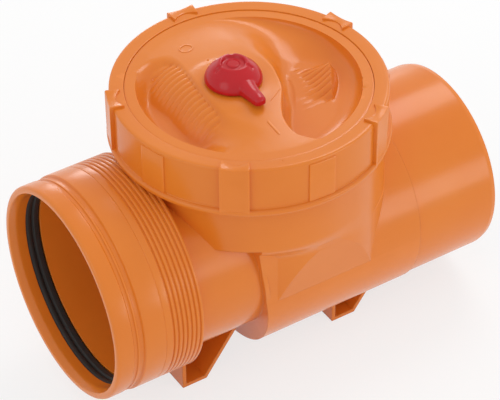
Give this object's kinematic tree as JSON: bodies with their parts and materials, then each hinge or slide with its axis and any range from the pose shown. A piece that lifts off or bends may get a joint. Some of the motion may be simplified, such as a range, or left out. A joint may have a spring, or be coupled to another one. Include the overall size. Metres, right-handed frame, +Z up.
{
  "type": "backwater valve",
  "caption": "Drain backwater valve: socket inlet, inclined gravity flap on a seat, spigot outlet, round screwed inspection cover with finger scoops and a lock knob, on low feet.",
  "frame": {"origin": "on the floor under the feet, at the middle of the length between socket mouth and spigot end", "axes": "+X along the flow from the socket to the spigot, +Y to the left of the flow, +Z up through the cover"},
  "size_m": [0.36, 0.2222, 0.266],
  "materials": {
    "housing_plastic": "glossy orange-brown rigid plastic",
    "knob_plastic": "glossy red plastic",
    "seal_rubber": "matt black rubber",
    "seat_plastic": "satin grey plastic",
    "bush_plastic": "matt black bearing plastic",
    "stainless": "brushed stainless steel"
  },
  "bodies": {
    "housing": {"valve_body": "housing_plastic", "inlet_socket": "housing_plastic", "socket_seal": "seal_rubber", "seat_ring": "seat_plastic", "hinge_bushes": "bush_plastic"},
    "cover": {"cover_plate": "housing_plastic", "cover_seal": "seal_rubber", "spindle_washer": "stainless"},
    "ring": {"screw_ring": "housing_plastic"},
    "lock": {"lock_knob": "knob_plastic", "lock_spindle": "stainless", "spindle_seals": "seal_rubber", "spindle_clip": "stainless", "lock_finger": "stainless", "finger_pin": "stainless", "knob_screw": "stainless"},
    "flap": {"flap_plate": "stainless", "flap_seal": "seal_rubber", "flap_clamp_ring": "stainless", "flap_rivets": "stainless", "hinge_pin": "stainless", "hinge_clips": "stainless", "flap_horn": "stainless"}
  },
  "joints": [
    {"name": "cover_lift", "type": "slide", "parent": "housing", "child": "cover", "axis": [0, 0, 1], "range_m": [0, 0.1]},
    {"name": "ring_turn", "type": "hinge", "parent": "cover", "child": "ring", "pos_m": [-0.006, 0, 0.22], "axis": [0, 0, 1], "range_deg": [0, 540]},
    {"name": "lock_turn", "type": "hinge", "parent": "cover", "child": "lock", "pos_m": [-0.02, 0, 0.22], "axis": [0, 0, 1], "range_deg": [0, 180]},
    {"name": "flap_swing", "type": "hinge", "parent": "housing", "child": "flap", "pos_m": [-0.04273, 0, 0.19446], "axis": [0, -1, 0], "range_deg": [0, 52]}
  ]
}
